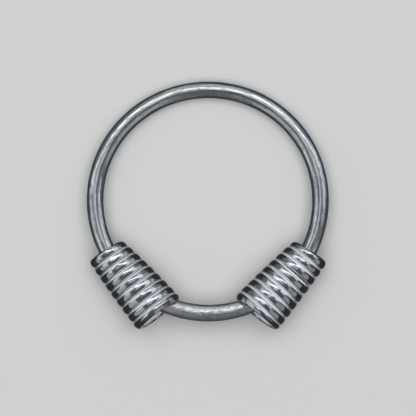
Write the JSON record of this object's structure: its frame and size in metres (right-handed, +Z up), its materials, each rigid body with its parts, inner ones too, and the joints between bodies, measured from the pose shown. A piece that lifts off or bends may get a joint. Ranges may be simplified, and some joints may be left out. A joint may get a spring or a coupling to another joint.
{
  "type": "spiral bracelet",
  "caption": "Round wire bangle with a conical coil of D-shaped wire on each side of its front; the coils slide round the hoop.",
  "frame": {"origin": "on the ground under the middle of the bounding box", "axes": "+Z up as the bracelet lies on its side, +Y from the coils to the plain far side, +X to the right-hand coil"},
  "size_m": [0.0696, 0.0714, 0.0161],
  "materials": {
    "hoop_silver": "polished drawn silver wire",
    "coil_silver": "silver, polished crests and frosted grooves"
  },
  "bodies": {
    "hoop": {"hoop": "hoop_silver"},
    "left_coil": {"left_coil": "coil_silver"},
    "right_coil": {"right_coil": "coil_silver"}
  },
  "joints": [
    {"name": "left_coil_slide", "type": "hinge", "parent": "hoop", "child": "left_coil", "pos_m": [0, 0.00099, 0.00516], "axis": [0, 0.0854, 0.9963], "range_deg": [-111, 16]},
    {"name": "right_coil_slide", "type": "hinge", "parent": "hoop", "child": "right_coil", "pos_m": [0, 0.00099, 0.00516], "axis": [0, 0.0854, 0.9963], "range_deg": [-16, 111]}
  ]
}
